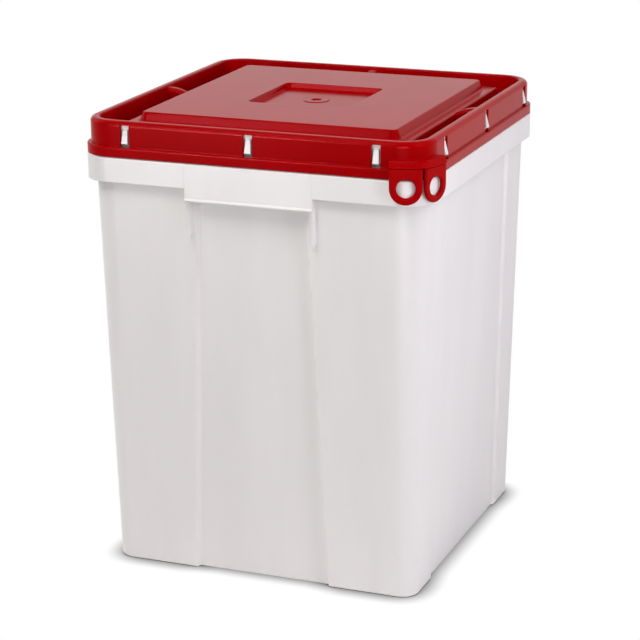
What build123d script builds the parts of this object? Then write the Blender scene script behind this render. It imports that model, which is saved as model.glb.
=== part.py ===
from build123d import *
import math
import os

# Square transport box with a push-on lid: a one-piece tub, a one-piece lid with its seal, and two
# pull rings that hang from the lid's front right corner.
# Millimetres, +Z up, origin on the ground at the middle of the tub's foot.
# The front (handle) face looks along -Y. Half sizes are measured from the middle.

# ---- driving dimensions: tub ----
rim_half = 181.5             # half width of the mouth's outer wall at the rim
rim_corner = 31.0            # plan corner radius there
rim_z = 476.0                # top of the tub's rim
taper = 13.0                 # how much nearer the middle each wall is on the ground
wall = 3.0                   # tub wall
foot_rim = 16.0              # width of the standing rim under the floor
foot_lift = 2.5              # how far the floor is lifted above the ground
foot_edge = 2.5              # rounding of the edge that stands on the ground

collar_stand = 5.8           # the collar's face beyond the rim's wall
collar_drop = 32.5           # the collar's top below the rim
collar_high = 26.0
collar_wall = 2.4
collar_round = 2.0           # rounding of its upper edge
collar_rib_wall = 2.0
side_rib_pitch = 62.0        # ribs hidden inside the collar

handle_half = 68.4           # half length of each hand hold
handle_drop = 13.8           # how far the hand hold hangs below the collar
handle_stand = 0.4           # its face beyond the collar's
handle_bead = 2.3            # radius of the rounded grip edge
handle_bead_proud = 0.9
gusset_wall = 3.2
gusset_high = 53.0           # from the collar's lower edge down to a gusset's tip
gusset_tip = 5.2             # how proud of the wall a gusset still is at its tip
gusset_undercut = 7.0        # how far its lower end rises from the tip to the wall
gusset_tip_round = 1.6
gusset_bow = 0.8             # hollow of its front edge
gusset_flare = 1.8           # how much wider a gusset is on each side where it meets the wall

neck_in = 1.3                # the wall is thinner between the collar and the rim's bead
front_panel_depth = 7.0      # recess of the front and back panels at the ground
front_panel_half = 76.0      # half width of that recess at the ground
front_panel_top_half = 59.0
side_panel_depth = 4.2       # recess of the two side panels at the ground
side_panel_half = 113.0
side_panel_top_half = 106.0
panel_drop = 1.0             # from the collar's lower edge down to the panels' upper ends
panel_top_share = 0.8        # a panel's depth at its upper end, as a share of the depth at the ground
panel_draft = 0.5            # how far a panel's sides run in for each millimetre of its depth

bead_out = 0.8               # bead round the rim
bead_high = 4.5
bead_round = 0.75

catch_inset = 47.5           # outer catches of each side, in from the rim's wall
catch_high = 13.6
catch_low_wide = 6.6
catch_high_wide = 5.0
catch_proud = 1.6            # a catch's foot beyond the lid's skirt
catch_high_out = 1.9         # its upper end beyond the rim's wall
catch_return = 3.0           # height over which its foot falls back to the wall
side_shift = 9.0             # catches, windows and bridges of the two sides lie this far back

# ---- driving dimensions: seal ----
seal_high = 1.05
seal_gap = 0.15              # left over the tub's rim
seal_side_gap = 0.4

# ---- driving dimensions: lid ----
lid_wall = 2.4
rim_cover = 2.8              # thickness of the lid's rim over the seal
skirt_gap = 1.1              # between the rim's wall and the skirt's inside
skirt_ease = 3.0             # how much rounder the skirt's corners are than the rim's
skirt_round = 5.0            # rounded shoulder of the lid's rim
flange_step = 3.0            # the lower flange's face beyond the skirt
flange_gap = 0.5             # between the flange and the collar's top
flange_high = 10.0
flange_round = 1.5
flange_wall = 1.9
rim_land = 9.5               # width of the lid's rim, from skirt face to channel
rim_round = 2.0              # rounding of its edge over the channel
slot_side = 1.45             # clearance of a window beside its catch
slot_over = 4.8              # and above it
slot_clear = 0.3             # and outside it, where the windows run on inside the flange
channel_deep = 25.5
channel_wide = 23.0
channel_draft = 3.5
ledge_drop = 8.5             # first step up from the channel, below the lid's rim
ledge_wide = 15.0
ledge_round = 2.4
plateau_rise = 9.7           # raised middle of the lid, above the ledge
plateau_slope = 4.0          # run of its sloping side
plateau_corner = 6.0
plateau_round = 1.8
plateau_foot = 1.5           # the bevel where its side meets the ledge
recess_half = 56.0           # square recess in the middle
recess_deep = 5.2
recess_slope = 2.0
recess_corner = 4.0
gate_ring = 14.0             # radius of the raised gate pad
gate_pad = 0.5
gate_dimple = 5.5
gate_dimple_deep = 1.0
bridge_wide = 12.0           # bridges across the channel, one in the middle of each side
bridge_drop = 2.4            # below the lid's rim at their outer end
bridge_round = 4.0

# ---- driving dimensions: pull rings ----
hinge_rise = 2.0             # line that the rings bend at, above the flange
hinge_gap = 0.15
ring_slit = 1.2              # left between the two rings on the corner's diagonal
ring_half = 16.2
ring_band = 6.9              # width of the band round a ring's hole
ring_wall = 3.1
ring_drop = 20.0             # from the hinge line down to a ring's centre
ring_edge = 1.2              # bevel of a ring's front edges
tab_stand_off = 0.4          # from the flange's corner to the back of a ring
strap_lip = 1.2              # height over which the corner band is as proud as the rings
strap_slope = 3.0            # height over which it is drawn in by the step
strap_step = 1.6
strap_flat = 3.2             # height of its flat stretch
strap_overhang = 0.5         # how far the band runs past the rings
strap_bend = 14.0            # rounding of the band on the diagonal

# ---- construction ----
cut_past = 1.0               # how far a cut runs on beyond the face it opens
least_corner = 2.0

# ---- where the pieces meet ----
foot_half = rim_half - taper
foot_corner = rim_corner - taper
collar_half = rim_half + collar_stand
collar_top = rim_z - collar_drop
collar_z = collar_top - collar_high
panel_top_z = collar_z - panel_drop
gusset_z = collar_z - gusset_high
gusset_root_z = gusset_z + gusset_undercut

skirt_half = rim_half + skirt_gap + lid_wall
skirt_corner = rim_corner + skirt_ease
flange_half = skirt_half + flange_step
flange_low = collar_top + flange_gap
flange_top = flange_low + flange_high
seal_low = rim_z + seal_gap
rim_ceiling = seal_low + seal_high
lid_rim_z = rim_ceiling + rim_cover

catch_pitch = rim_half - catch_inset
catch_high_z = rim_z - bead_high
catch_low_z = catch_high_z - catch_high
catch_low_out = skirt_half + catch_proud - rim_half
slot_wide = catch_low_wide + 2 * slot_side
slot_top = catch_high_z + slot_over
slot_reach = catch_proud + slot_clear

channel_half = skirt_half - rim_land
channel_z = lid_rim_z - channel_deep
ledge_half = channel_half - channel_wide
ledge_z = lid_rim_z - ledge_drop
plateau_half = ledge_half - ledge_wide
plateau_z = ledge_z + plateau_rise

hinge_z = flange_top + hinge_rise
ring_hole = ring_half - ring_band
ring_centre_z = hinge_z - ring_drop
ring_back = skirt_corner + tab_stand_off     # from the axis of the lid's corner
ring_turn = math.degrees(
    math.atan2(ring_half, ring_back) + math.asin(ring_slit / 2 / math.hypot(ring_back, ring_half)))


def tub_widening(z):
    return taper * z / rim_z


def tub_half(z):
    return foot_half + tub_widening(z)


def tub_corner(z):
    return foot_corner + tub_widening(z)


def square_at(z, half, corner):
    """A rounded square lying at height z, drawn in one run so that a taper turns its arcs into cones."""
    flat = half - corner
    edges = []
    for side in range(4):
        turn = Rot(0, 0, 90 * side)
        edges.append(turn * Line((-flat, -half), (flat, -half)))
        edges.append(turn * CenterArc((flat, -flat), corner, -90, 90))
    return Pos(0, 0, z) * make_face(edges)


def prism(half, corner, low, high):
    """An upright block on a rounded square."""
    return extrude(square_at(low, half, corner), high - low)


def frustum(low, low_half, corner, high, high_half):
    """A block that widens evenly from one height to the other, and its corners with it."""
    draft = math.degrees(math.atan2(high_half - low_half, high - low))
    return extrude(square_at(low, low_half, corner), high - low, taper=-draft)


def front_and_back(shape):
    return [shape, Rot(0, 0, 180) * shape]


def four_sides(shape):
    """The shape on the front and back, and turned onto the two sides a little behind the middle."""
    sides = [Pos(0, side_shift, 0) * Rot(0, 0, 90 * way) * shape for way in (-1, 1)]
    return front_and_back(shape) + sides


def tub_body(low, high, inset):
    """The tub's tapered block between two heights, drawn in all round by inset."""
    return frustum(low, tub_half(low) - inset, tub_corner(low) - inset, high, tub_half(high) - inset)


def panel(depth, low_half, high_half, grow):
    """The space of one recessed panel on the front, deepest at the ground. Grow makes the
    same form larger all round, for the inside of the wall."""
    aside = grow * math.hypot(1, panel_draft)
    outlines = []
    for z, half, share in ((-cut_past, low_half, 1.0), (panel_top_z + grow, high_half, panel_top_share)):
        face = tub_half(z)
        cut = depth * share + grow
        outer = half + aside + panel_draft * cut_past
        inner = half + aside - panel_draft * cut
        corners = [(-outer, -face - cut_past), (outer, -face - cut_past),
                   (inner, -face + cut), (-inner, -face + cut)]
        outlines.append(Pos(0, 0, z) * make_face(Polyline(*corners, close=True)))
    return loft(outlines)


def panels(grow):
    front = panel(front_panel_depth, front_panel_half, front_panel_top_half, grow)
    side = panel(side_panel_depth, side_panel_half, side_panel_top_half, grow)
    return front_and_back(front) + front_and_back(Rot(0, 0, 90) * side)


def collar():
    """The skirt round the neck, open below, with its top shelf."""
    skirt = prism(collar_half, rim_corner, collar_z, collar_top)
    skirt = fillet(skirt.faces().sort_by(Axis.Z)[-1].outer_wire().edges(), collar_round)
    hollow = prism(collar_half - collar_wall, rim_corner - collar_wall,
                   collar_z, collar_top - collar_wall)
    return skirt - hollow


def collar_bar(x, thickness):
    """One upright rib between the collar and the neck on the front."""
    depth = collar_half - tub_half(collar_z) + wall / 2
    height = collar_top - collar_wall / 2 - collar_z
    place = Pos(x, -collar_half + collar_wall / 2 + depth / 2, collar_z + height / 2)
    return place * Box(thickness, depth, height)


def collar_ribs():
    side = [Rot(0, 0, 90) * collar_bar(side_rib_pitch * step, collar_rib_wall)
            for step in (-2, -1, 0, 1, 2)]
    front = [collar_bar(2 * side_rib_pitch * way, collar_rib_wall) for way in (-1, 1)]
    return [turned for rib in side + front for turned in front_and_back(rib)]


def gusset():
    """One upright web under the end of a hand hold: it hangs down from the grip, stays proud to
    its rounded tip, and flares where it meets the wall."""
    face_y = -collar_half - handle_stand
    bead_z = collar_z - handle_drop + handle_bead
    root_y = -tub_half(gusset_root_z)
    inside_y = root_y + wall / 2
    tip_y = root_y - gusset_tip
    top_z = collar_top - collar_round
    bow = ((face_y + tip_y) / 2 + gusset_bow, (bead_z + gusset_z) / 2)
    edge = [
        Line((inside_y, top_z), (face_y, top_z)),
        Line((face_y, top_z), (face_y, bead_z)),
        ThreePointArc((face_y, bead_z), bow, (tip_y, gusset_z)),
        Line((tip_y, gusset_z), (root_y, gusset_root_z)),
        Line((root_y, gusset_root_z), (inside_y, gusset_root_z)),
        Line((inside_y, gusset_root_z), (inside_y, top_z)),
    ]
    outline = make_face(edge)
    outline = fillet(outline.vertices().sort_by(Axis.X)[0], gusset_tip_round)
    narrow = gusset_wall / 2
    broad = narrow + gusset_flare
    web = extrude(Plane.YZ * outline, broad, both=True)
    right = [(broad, inside_y), (broad, root_y), (narrow, root_y - gusset_flare),
             (narrow, face_y - cut_past)]
    left = [(-x, y) for x, y in reversed(right)]
    plan = Pos(0, 0, gusset_z - cut_past) * make_face(Polyline(*right, *left, close=True))
    return web & extrude(plan, top_z - gusset_z + 2 * cut_past)


def hand_hold():
    """The deeper stretch of collar on the front, its rounded grip edge and two gussets."""
    face_y = -collar_half - handle_stand
    bead_z = collar_z - handle_drop + handle_bead
    top_z = collar_top - collar_round
    skirt = Pos(0, face_y + collar_wall / 2, (bead_z + top_z) / 2) * Box(
        2 * handle_half, collar_wall, top_z - bead_z)
    bead_y = face_y - handle_bead_proud + handle_bead
    bead = Pos(0, bead_y, bead_z) * Rot(0, 90, 0) * Cylinder(handle_bead, 2 * handle_half)
    middle = handle_half - gusset_wall / 2
    webs = [Pos(way * middle, 0, 0) * gusset() for way in (-1, 1)]
    return [skirt, bead] + webs


def catch():
    """One ramped catch on the front: narrow and flush above, broad and proud below."""
    base = rim_half - wall
    foot_z = catch_low_z - catch_return
    sections = []
    for z, wide, out in ((foot_z, catch_low_wide, tub_half(foot_z) - rim_half),
                         (catch_low_z, catch_low_wide, catch_low_out),
                         (catch_high_z, catch_high_wide, catch_high_out)):
        reach = rim_half + out - base
        sections.append(Pos(0, -base - reach / 2, z) * Rectangle(wide, reach))
    return loft(sections, ruled=True)


def catches():
    row = [Pos(catch_pitch * step, 0, 0) * catch() for step in (-1, 0, 1)]
    return [turned for one in row for turned in four_sides(one)]


def rim_bead():
    band = prism(rim_half + bead_out, tub_corner(rim_z) + bead_out, rim_z - bead_high, rim_z)
    return fillet(band.faces().sort_by(Axis.Z)[-1].outer_wire().edges(), bead_round)


def neck_space():
    """What the wall is drawn in by, all round, behind the lid's skirt."""
    room = prism(rim_half + cut_past, rim_corner + cut_past, collar_top, catch_high_z)
    return room - tub_body(collar_top, catch_high_z, neck_in)


def tub():
    outside = tub_body(0, rim_z, 0)
    outside = fillet(outside.faces().sort_by(Axis.Z)[0].outer_wire().edges(), foot_edge)
    outside = outside - panels(0) - neck_space()
    floor_z = foot_lift + wall
    inside = tub_body(floor_z, rim_z + cut_past, wall) - panels(wall)
    underside = prism(foot_half - foot_rim, foot_corner, -cut_past, foot_lift)
    neck = collar() + rim_bead() + collar_ribs() + catches()
    holds = front_and_back(Part() + hand_hold())
    return (outside + neck + holds) - inside - underside


def skirt_corner_at(half):
    """Corner radius that keeps a lid wall parallel to the skirt."""
    return max(skirt_corner - (skirt_half - half), least_corner)


def lid_prism(half, low, high):
    return prism(half, skirt_corner_at(half), low, high)


def lid_frustum(low, low_half, high, high_half):
    return frustum(low, low_half, skirt_corner_at(low_half), high, high_half)


def plateau_block(inset, low, high):
    """The raised middle, or the hollow under it when drawn in by inset."""
    foot = plateau_half + plateau_slope - inset
    return frustum(low, foot, plateau_corner + plateau_slope - inset, high, plateau_half - inset)


def raised_middle():
    """The raised middle on its ledge, with rounded edges."""
    ledge = rounded_on_top(lid_prism(ledge_half, channel_z - lid_wall, ledge_z), ledge_round)
    block = rounded_on_top(plateau_block(0, ledge_z, plateau_z), plateau_round)
    foot_z = ledge_z + plateau_foot
    foot_half = plateau_half + plateau_slope
    corner = plateau_corner + plateau_slope
    foot = frustum(ledge_z, foot_half + plateau_foot, corner + plateau_foot,
                   foot_z, foot_half - plateau_foot / 2)
    return ledge + block + foot


def flange_prism(inset, low, high):
    return prism(flange_half - inset, skirt_corner - inset, low, high)


def rounded_on_top(block, radius):
    """The block with its uppermost outline rounded."""
    return fillet(block.faces().sort_by(Axis.Z)[-1].outer_wire().edges(), radius)


def lid_rim():
    """Skirt, shoulder and flange as one block."""
    skirt = rounded_on_top(lid_prism(skirt_half, flange_low, lid_rim_z), skirt_round)
    flange = rounded_on_top(flange_prism(0, flange_low, flange_top), flange_round)
    return skirt + flange


def slots():
    """Windows in the skirt over the catches, open below so that the lid lifts off."""
    inner = skirt_half - lid_wall - cut_past
    outer = skirt_half + slot_reach
    height = slot_top - flange_low + cut_past
    window = Pos(0, -(inner + outer) / 2, slot_top - height / 2) * Box(slot_wide, outer - inner, height)
    row = [Pos(catch_pitch * step, 0, 0) * window for step in (-1, 0, 1)]
    return [turned for one in row for turned in four_sides(one)]


def bridge():
    """One bridge across the channel on the front, bending down from the rim to the ledge."""
    outer = -channel_half - lid_wall / 2
    inner = -ledge_half + lid_wall / 2
    high = lid_rim_z - bridge_drop
    edge = [
        Line((inner, ledge_z), (inner, channel_z)),
        Line((inner, channel_z), (outer, channel_z)),
        Line((outer, channel_z), (outer, high)),
        TangentArc((outer, high), (inner, ledge_z), tangent=(1, 0)),
    ]
    block = extrude(Plane.YZ * make_face(edge), bridge_wide / 2, both=True)
    return fillet(block.edges().filter_by(GeomType.CIRCLE), bridge_round)


def lid():
    channel_low = channel_half - channel_draft
    plug_low = channel_z - lid_wall
    plug = lid_frustum(plug_low, channel_low + lid_wall, rim_ceiling, channel_half + lid_wall)
    rim_space = lid_prism(skirt_half - lid_wall, plug_low - cut_past, rim_ceiling) - plug
    under = lid_prism(skirt_half - lid_wall, flange_low - cut_past, plug_low)
    under_flange = flange_prism(flange_wall, flange_low - cut_past, flange_top - lid_wall)
    channel = lid_frustum(channel_z, channel_low, lid_rim_z, channel_half)
    rim = lid_rim() - channel
    rim = fillet(rim.faces().sort_by(Axis.Z)[-1].inner_wires()[0].edges(), rim_round)
    bridges = [one & channel for one in four_sides(bridge())]
    block = rim - rim_space - under - under_flange + raised_middle() + bridges

    recess_floor = plateau_z - recess_deep
    recess_foot = recess_half - recess_slope
    recess = frustum(recess_floor, recess_foot, recess_corner, plateau_z + cut_past, recess_half)
    pan_low = recess_floor - lid_wall
    pan = prism(recess_half + lid_wall, recess_corner + lid_wall, pan_low, plateau_z)
    hollow = lid_prism(ledge_half - lid_wall, plug_low - cut_past, ledge_z - lid_wall)
    hollow = hollow + plateau_block(lid_wall, ledge_z - lid_wall, plateau_z - lid_wall) - pan
    gate = Pos(0, 0, recess_floor + gate_pad / 2) * Cylinder(gate_ring, gate_pad)
    dimple = Pos(0, 0, recess_floor + gate_pad) * Cylinder(gate_dimple, 2 * gate_dimple_deep)
    return block - recess - hollow + gate - dimple - slots() + strap()


def corner_place(turn):
    """Frame on the axis of the flange's front right corner, its x looking out at the turn from
    the diagonal."""
    centre = flange_half - skirt_corner
    return Pos(centre, -centre, 0) * Rot(0, 0, -45 + turn)


def strap_outline(z, front):
    """The corner band at one height: two flat stretches a ring wide that meet on the diagonal."""
    turn = math.radians(ring_turn)
    half = ring_half + strap_overhang
    along = front * math.cos(turn) - half * math.sin(turn)
    across = front * math.sin(turn) + half * math.cos(turn)
    tip = front / math.cos(turn)
    plan = make_face(Polyline((0, 0), (along, -across), (tip, 0), (along, across), close=True))
    return Pos(0, 0, z) * fillet(plan.vertices().sort_by(Axis.X)[-1], strap_bend)


def strap():
    """The band round the corner that the rings hang from: a proud lip under a flat stretch."""
    lip = ring_back + ring_wall
    flat = lip - strap_step
    lip_z = hinge_z + strap_lip
    flat_z = lip_z + strap_slope
    top_z = flat_z + strap_flat
    levels = ((hinge_z, lip), (lip_z, lip), (flat_z, flat), (top_z, flat))
    band = loft([strap_outline(z, front) for z, front in levels], ruled=True)
    space = lid_prism(skirt_half - lid_wall / 2, hinge_z - cut_past, top_z + cut_past)
    return corner_place(0) * band - space


def pull_ring(turn):
    """A hanging tab with a finger ring, bent at its upper edge."""
    top = hinge_z - hinge_gap
    tab = Rectangle(2 * ring_half, top - ring_centre_z, align=(Align.CENTER, Align.MIN))
    outline = tab + Circle(ring_half) - Circle(ring_hole)
    plane = Plane(origin=(ring_back, 0, ring_centre_z), x_dir=(0, 1, 0), z_dir=(1, 0, 0))
    ring = extrude(plane * outline, ring_wall)
    ring = chamfer(ring.faces().sort_by(Axis.X)[-1].edges(), ring_edge)
    return corner_place(turn) * ring


def lid_seal():
    """Flat seal in the lid's rim, over the tub's rim."""
    outer = skirt_half - lid_wall - seal_side_gap
    inner = rim_half - wall + seal_side_gap
    return lid_prism(outer, seal_low, rim_ceiling) - lid_prism(inner, seal_low, rim_ceiling)


def main():
    nodes = {
        "tub": tub(),
        "lid": lid(),
        "lid_seal": lid_seal(),
        "pull_ring_front": pull_ring(-ring_turn),
        "pull_ring_side": pull_ring(ring_turn),
    }
    os.makedirs("parts", exist_ok=True)
    for name, shape in nodes.items():
        export_step(shape, os.path.join("parts", name + ".step"))
        box = shape.bounding_box()
        print(name, len(shape.solids()), "solid", round(shape.volume / 1000), "cm3", box.min, box.max)


main()
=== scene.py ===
# %% [markdown]
# # A square transport box with a push-on lid
# The real thing is two big injection mouldings: a white polyethylene tub and a red
# polyethylene lid, with a soft seal between them and two finger rings that hang from one
# corner of the lid. The solids arrive here from the imported model, at their real size in
# metres, so nothing below changes a shape. What Blender adds is the finish of each
# material, a floor, studio light and a camera.

# %% Load the model
import math

import bpy
from mathutils import Matrix, Vector

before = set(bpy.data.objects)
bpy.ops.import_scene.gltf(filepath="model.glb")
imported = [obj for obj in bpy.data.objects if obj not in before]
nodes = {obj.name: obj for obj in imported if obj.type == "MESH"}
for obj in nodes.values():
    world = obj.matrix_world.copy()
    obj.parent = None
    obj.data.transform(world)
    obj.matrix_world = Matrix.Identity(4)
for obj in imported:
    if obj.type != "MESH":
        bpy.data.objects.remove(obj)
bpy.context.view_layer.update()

print("nodes:", ", ".join(sorted(nodes)))

# %% [markdown]
# ## Colours and nodes
# Paint charts and web pages give colours in sRGB, but a shader works in linear light, so
# one function turns a hex code into linear values. A second small function adds a node to
# a material together with its settings and its links, which keeps each material readable
# as a short list. Patterns are scaled from millimetres: a noise texture's features are
# about 1 / scale long, in metres here. A third function tells apart the rays that show a
# surface to the eye, straight or by a mirror image, because the floor and the room answer
# those with plain white.

# %% Helpers for materials
def linear(code):
    """An sRGB hex code as linear RGBA."""
    channels = [int(code[i:i + 2], 16) / 255 for i in (1, 3, 5)]
    return [c / 12.92 if c <= 0.04045 else ((c + 0.055) / 1.055) ** 2.4
            for c in channels] + [1.0]


def add(tree, kind, values=None, links=None, **settings):
    """Add a node, set its properties, fill its sockets and link others to it."""
    made = tree.nodes.new("ShaderNode" + kind)
    for name, value in settings.items():
        setattr(made, name, value)
    for name, value in (values or {}).items():
        made.inputs[name].default_value = value
    for name, source in (links or {}).items():
        tree.links.new(source, made.inputs[name])
    return made


def per_mm(size):
    """Noise scale whose features are about this many millimetres across."""
    return 1000 / size


def seen_directly(tree):
    """A socket that is 1 for camera, glossy and transmitted rays and 0 for all others."""
    rays = add(tree, "LightPath")
    seen = rays.outputs["Is Camera Ray"]
    for kind in ("Is Glossy Ray", "Is Transmission Ray"):
        either = add(tree, "Math", None, {0: seen, 1: rays.outputs[kind]}, operation="MAXIMUM")
        seen = either.outputs["Value"]
    return seen


def new_material(name):
    """An empty node material and its node tree."""
    made = bpy.data.materials.new(name)
    made.use_nodes = True
    made.node_tree.nodes.clear()
    return made, made.node_tree


print("white", [round(c, 3) for c in linear("#F0EEED")])

# %% [markdown]
# ## White tub: injection-moulded high-density polyethylene
# Polyethylene is a waxy plastic. Its surface comes from a steel mould that was polished
# along the walls and then lightly blasted, which gives the eye a satin sheen with broad,
# soft reflections. A big flat wall also shrinks unevenly as it cools, so it carries a very
# slow waviness, and the melt leaves faint upright flow bands. Noise draws all of it: one
# broad pattern for the waves, one drawn out along the height for the bands, one in patches
# for the gloss, and a fine one for the blasted grain. The grain is really about 0.1 mm and
# is drawn at 0.9 mm, because anything finer would vanish at this picture size. A Bevel node
# rounds every hard edge by 0.8 mm, as a mould does, so that edges catch the light. The low
# specular level is the waxy skin, which mirrors less than a hard plastic, and a little
# subsurface light makes the wall look as milky as polyethylene does.

# %% Tub material
FLOW_SQUEEZE = 0.18     # height counts this much in the flow noise, so its bands stand upright
GLOSS_PATCH_MM = 55     # size of the patches in which the gloss differs
WAVE_MM = 90            # length of the wall's slow waves
GRAIN_MM = 0.9          # width of the blasted grain, as drawn


def moulded_plastic(name, light, dark, roughness, rough_range, flow_mm, wave, edge_mm, ior,
                    grain):
    """A moulded plastic: two close colours in flow bands, uneven gloss, wavy walls, soft
    edges. The depths of the waves and the grain, and the edges' radius, are in mm."""
    made, tree = new_material(name)
    place = add(tree, "TexCoord").outputs["Object"]
    stretched = add(tree, "Mapping", {"Scale": (1.0, 1.0, FLOW_SQUEEZE)}, {"Vector": place})
    flow = add(tree, "TexNoise", {"Scale": per_mm(flow_mm), "Detail": 3.0, "Roughness": 0.55},
               {"Vector": stretched.outputs["Vector"]})
    tint = add(tree, "ValToRGB", None, {"Fac": flow.outputs["Fac"]})
    tint.color_ramp.elements[0].position = 0.35
    tint.color_ramp.elements[0].color = linear(dark)
    tint.color_ramp.elements[1].position = 0.65
    tint.color_ramp.elements[1].color = linear(light)
    patches = add(tree, "TexNoise", {"Scale": per_mm(GLOSS_PATCH_MM), "Detail": 4.0,
                                     "Roughness": 0.6}, {"Vector": place})
    gloss = add(tree, "MapRange", {"To Min": roughness - rough_range,
                                   "To Max": roughness + rough_range},
                {"Value": patches.outputs["Fac"]})
    waves = add(tree, "TexNoise", {"Scale": per_mm(WAVE_MM), "Detail": 1.0, "Roughness": 0.4},
                {"Vector": place})
    speckle = add(tree, "TexNoise", {"Scale": per_mm(GRAIN_MM), "Detail": 2.0,
                                     "Roughness": 0.5}, {"Vector": place})
    edge = add(tree, "Bevel", {"Radius": edge_mm / 1000}, samples=6)
    wavy = add(tree, "Bump", {"Strength": 1.0, "Distance": wave / 1000},
               {"Height": waves.outputs["Fac"], "Normal": edge.outputs["Normal"]})
    grained = add(tree, "Bump", {"Strength": 1.0, "Distance": grain / 1000},
                  {"Height": speckle.outputs["Fac"], "Normal": wavy.outputs["Normal"]})
    surface = add(tree, "BsdfPrincipled", {"IOR": ior},
                  {"Base Color": tint.outputs["Color"], "Roughness": gloss.outputs["Result"],
                   "Normal": grained.outputs["Normal"]})
    add(tree, "OutputMaterial", None, {"Surface": surface.outputs["BSDF"]})
    print(name, "roughness", roughness, "edge", edge_mm, "mm")
    return made, surface


white_hdpe, white_shader = moulded_plastic(
    "injection_moulded_white_HDPE", "#F0EEED", "#EBE8E8", roughness=0.34, rough_range=0.04,
    flow_mm=70, wave=0.5, edge_mm=0.8, ior=1.54, grain=0.012)
white_shader.inputs["Specular IOR Level"].default_value = 0.22
white_shader.inputs["Subsurface Weight"].default_value = 0.08
white_shader.inputs["Subsurface Radius"].default_value = (1.0, 0.9, 0.85)
white_shader.inputs["Subsurface Scale"].default_value = 0.004

# %% [markdown]
# ## Red lid and rings: pigmented polyethylene
# The lid is the same plastic with a strong red pigment, moulded in a more polished tool,
# so it is glossier and its top mirrors the pale room at a shallow angle. Red pigment
# absorbs almost all green and blue, which is why its shaded sides go deep and pure. The
# same function serves, with its own colours, a lower roughness and less waviness. The
# specular level is low and its tint is red, because the light that comes back from just
# under this waxy skin has already met pigment, so lines of light stay reddish. At a shallow
# angle the tint falls away by itself. The rings come out of the same mould as the lid, so
# they share its material.

# %% Lid material
red_hdpe, red_shader = moulded_plastic(
    "injection_moulded_red_HDPE", "#AB0004", "#A50003", roughness=0.16, rough_range=0.03,
    flow_mm=60, wave=0.25, edge_mm=1.1, ior=1.54, grain=0.008)
red_shader.inputs["Specular IOR Level"].default_value = 0.045
red_shader.inputs["Specular Tint"].default_value = (1.0, 0.17, 0.21, 1.0)

# %% [markdown]
# ## Seal: foamed rubber
# The seal sits under the lid's rim and shows only from below, with the lid off. Foamed
# rubber is matt and full of small closed cells, so its material is rough all over with a
# cell pattern 0.8 mm across, drawn a little coarser than the real cells.

# %% Seal material
CELL_MM = 0.8
PIT_DEPTH_MM = 0.2
foam_rubber, tree = new_material("closed_cell_foam_rubber")
place = add(tree, "TexCoord").outputs["Object"]
cells = add(tree, "TexVoronoi", {"Scale": per_mm(CELL_MM)}, {"Vector": place})
shade = add(tree, "MixRGB", {"Color1": linear("#8E8E8B"), "Color2": linear("#C4C3BE")},
            {"Fac": cells.outputs["Distance"]})
pitted = add(tree, "Bump", {"Strength": 0.6, "Distance": PIT_DEPTH_MM / 1000},
             {"Height": cells.outputs["Distance"]})
surface = add(tree, "BsdfPrincipled", {"Roughness": 0.85, "IOR": 1.5},
              {"Base Color": shade.outputs["Color"], "Normal": pitted.outputs["Normal"]})
add(tree, "OutputMaterial", None, {"Surface": surface.outputs["BSDF"]})
print("seal", foam_rubber.name)

# %% [markdown]
# ## Dress the solids
# Each solid came in with one plain slot. Putting the new material into that slot is all it
# takes, and the mesh stays as it is.

# %% Assign materials
finishes = {
    "tub": white_hdpe,
    "lid": red_hdpe,
    "pull_ring_front": red_hdpe,
    "pull_ring_side": red_hdpe,
    "lid_seal": foam_rubber,
}
for name, finish in finishes.items():
    for slot in nodes[name].material_slots:
        slot.material = finish
    print(name, "->", finish.name)

# %% [markdown]
# ## Floor
# The box stands on a white sweep. A large plane is enough, because the camera looks down
# and sees no horizon. For the camera's own rays, and for glossy and transmitted ones, the
# floor gives out plain white, so that the backdrop stays pure. All other rays meet
# ordinary pale paper, which bounces soft light up at the box. A real product picture keeps
# only a narrow contact shadow, and an Ambient Occlusion node draws it: it measures how much
# of the space within 24 mm is blocked, and a ramp turns that into grey close to the foot.

# %% Floor
FLOOR_HALF = 12.0       # metres
CONTACT_REACH_MM = 24   # how far from the foot the contact shadow reaches


def floor_material():
    """White for the rays that show it, pale paper for the rest, with a contact shadow."""
    made, tree = new_material("white_paper_sweep")
    open_sky = add(tree, "AmbientOcclusion", {"Distance": CONTACT_REACH_MM / 1000}, samples=32)
    shade = add(tree, "ValToRGB", None, {"Fac": open_sky.outputs["AO"]})
    shade.color_ramp.elements[0].position = 0.3
    shade.color_ramp.elements[0].color = linear("#4C4A4A")
    shade.color_ramp.elements[1].position = 0.95
    shade.color_ramp.elements[1].color = (1, 1, 1, 1)
    paper = add(tree, "BsdfDiffuse", {"Color": linear("#F4F3F2")})
    white = add(tree, "Emission", {"Strength": 1.0}, {"Color": shade.outputs["Color"]})
    blend = add(tree, "MixShader", None, {0: seen_directly(tree), 1: paper.outputs["BSDF"],
                                          2: white.outputs["Emission"]})
    add(tree, "OutputMaterial", None, {"Surface": blend.outputs["Shader"]})
    return made


def plane(name, half):
    """A flat square on the ground, with sides of twice half."""
    mesh = bpy.data.meshes.new(name)
    corners = [(-half, -half, 0), (half, -half, 0), (half, half, 0), (-half, half, 0)]
    mesh.from_pydata(corners, [], [(0, 1, 2, 3)])
    made = bpy.data.objects.new(name, mesh)
    bpy.context.scene.collection.objects.link(made)
    return made


floor = plane("floor", FLOOR_HALF)
floor.data.materials.append(floor_material())
print("floor", floor.dimensions[:])

# %% [markdown]
# ## World
# The room gives an even, weak light from all sides, faintly warm. Rays that leave the scene
# towards the camera, or that the glossy plastic sends out, see plain white instead, which
# is what makes the lid's flat top look pale at a shallow angle.

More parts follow.
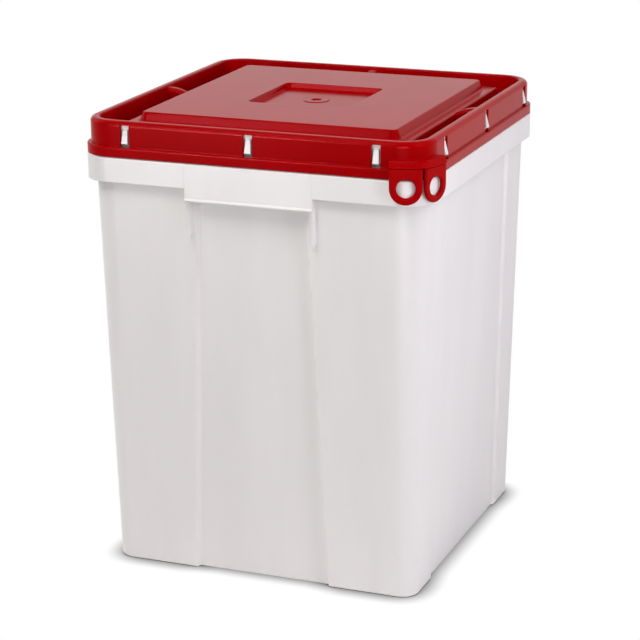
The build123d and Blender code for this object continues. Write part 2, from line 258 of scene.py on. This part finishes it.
# %% World
ROOM_STRENGTH = 0.22
world = bpy.data.worlds.new("studio")
bpy.context.scene.world = world
world.use_nodes = True
tree = world.node_tree
tree.nodes.clear()
room = add(tree, "Background", {"Color": (1.0, 0.985, 0.98, 1), "Strength": ROOM_STRENGTH})
backdrop = add(tree, "Background", {"Color": (1, 1, 1, 1), "Strength": 1.0})
blend = add(tree, "MixShader", None, {0: seen_directly(tree), 1: room.outputs["Background"],
                                      2: backdrop.outputs["Background"]})
add(tree, "OutputWorld", None, {"Surface": blend.outputs["Shader"]})
print("room strength", ROOM_STRENGTH)

# %% [markdown]
# ## Lamps
# A product studio uses large soft boxes, and each has a job. Two low ones on the right, one
# near and one further off, make the right side and the near corner the brightest and throw
# the grips' soft shadows to the left. One higher on the right reaches into the lid's
# channel. Two on the left and one above the front keep the front open, and a big one behind
# does the same for the back without a mirror image in the lid. Three more lamps are seen by
# glossy rays alone: they light nothing, but the plastic mirrors them. The two low ones draw
# the thin lines of light along the lid's rounded rim, and the higher one puts a sheen on
# the sloping walls in its top. A lamp is placed as a photographer would say it: so far
# round the box, so high, and so far away. The right and back lamps are a touch cooler than
# the left and front ones, so that a white wall changes its tone a little as it turns.

# %% Lamps
lit_point = Vector((0.0, 0.0, 0.28))    # what every lamp faces
WARM = (1.0, 0.985, 0.965)
COOL = (0.97, 0.93, 1.0)


def toward(azimuth, elevation):
    """The direction from the box to something at these angles, 0 degrees being the front."""
    around, up = math.radians(azimuth), math.radians(elevation)
    level = math.cos(up)
    return Vector((math.sin(around) * level, -math.cos(around) * level, math.sin(up)))


def soft_box(name, azimuth, elevation, away, width, height, watts, colour):
    """A rectangular area lamp at these angles and distance, which faces the box."""
    data = bpy.data.lights.new(name, "AREA")
    data.shape = "RECTANGLE"
    data.size = width
    data.size_y = height
    data.energy = watts
    data.color = colour
    made = bpy.data.objects.new(name, data)
    made.location = lit_point + away * toward(azimuth, elevation)
    made.rotation_mode = "QUATERNION"
    made.rotation_quaternion = (-toward(azimuth, elevation)).to_track_quat("-Z", "Y")
    bpy.context.scene.collection.objects.link(made)
    print(name, watts, "W")
    return made


soft_box("right_near_box", 66, 20, 0.95, 0.35, 0.6, 2.0, COOL)
soft_box("right_far_box", 65, 15, 2.6, 0.6, 0.8, 7.0, COOL)
soft_box("right_top_box", 78, 52, 1.5, 0.7, 0.7, 4.0, COOL)
soft_box("left_side_box", -80, 30, 1.4, 0.8, 0.8, 2.8, WARM)
soft_box("top_front_box", -24, 55, 2.4, 0.9, 0.9, 22.5, WARM)
soft_box("left_front_box", -35, -3, 1.4, 0.8, 0.5, 0.8, WARM)
back_light = soft_box("back_box", 200, 12, 2.4, 1.2, 1.2, 15.0, COOL)
back_light.visible_glossy = False
for edge_light in (soft_box("front_edge_light", -22, 5, 1.6, 0.3, 0.3, 29.0, WARM),
                   soft_box("corner_edge_light", 18, 5, 1.6, 0.8, 0.3, 45.0, WARM),
                   soft_box("front_slope_light", -22, 29, 1.7, 0.5, 0.25, 12.0, WARM)):
    edge_light.visible_diffuse = False

# %% [markdown]
# ## Camera
# A long lens from the front, a little to the right and about 17 degrees above, keeps the
# upright edges nearly parallel. Its place is given as an angle round the box, a height
# angle and a distance, which is how a photographer would set it. The focal length comes
# from the picture's width in pixels, because Blender wants millimetres on a 36 mm sensor,
# and a small shift lowers the box within the frame.

# %% Camera
back = toward(21.5755, 17.5178)         # from the box to the camera
roll = math.radians(-0.5024)
distance, aim = 2.4271, Vector((0.00163, 0.0, 0.21099))
focal_px, picture_px, lowered_px = 2228.8, 640, 20

lens = bpy.data.cameras.new("camera")
lens.sensor_width = 36.0
lens.lens = focal_px / picture_px * lens.sensor_width
lens.shift_y = lowered_px / picture_px
lens.clip_start, lens.clip_end = 0.05, 50.0
camera = bpy.data.objects.new("camera", lens)
right = Vector((0, 0, 1)).cross(back).normalized()
up = back.cross(right)
leaned_right = math.cos(roll) * right + math.sin(roll) * up
leaned_up = -math.sin(roll) * right + math.cos(roll) * up
turned = Matrix((leaned_right, leaned_up, back)).transposed()
camera.matrix_world = Matrix.Translation(aim + back * distance) @ turned.to_4x4()
bpy.context.scene.collection.objects.link(camera)
bpy.context.scene.camera = camera
bpy.context.scene.view_settings.view_transform = "Standard"
print("lens", round(lens.lens, 1), "mm at", [round(c, 3) for c in camera.location])
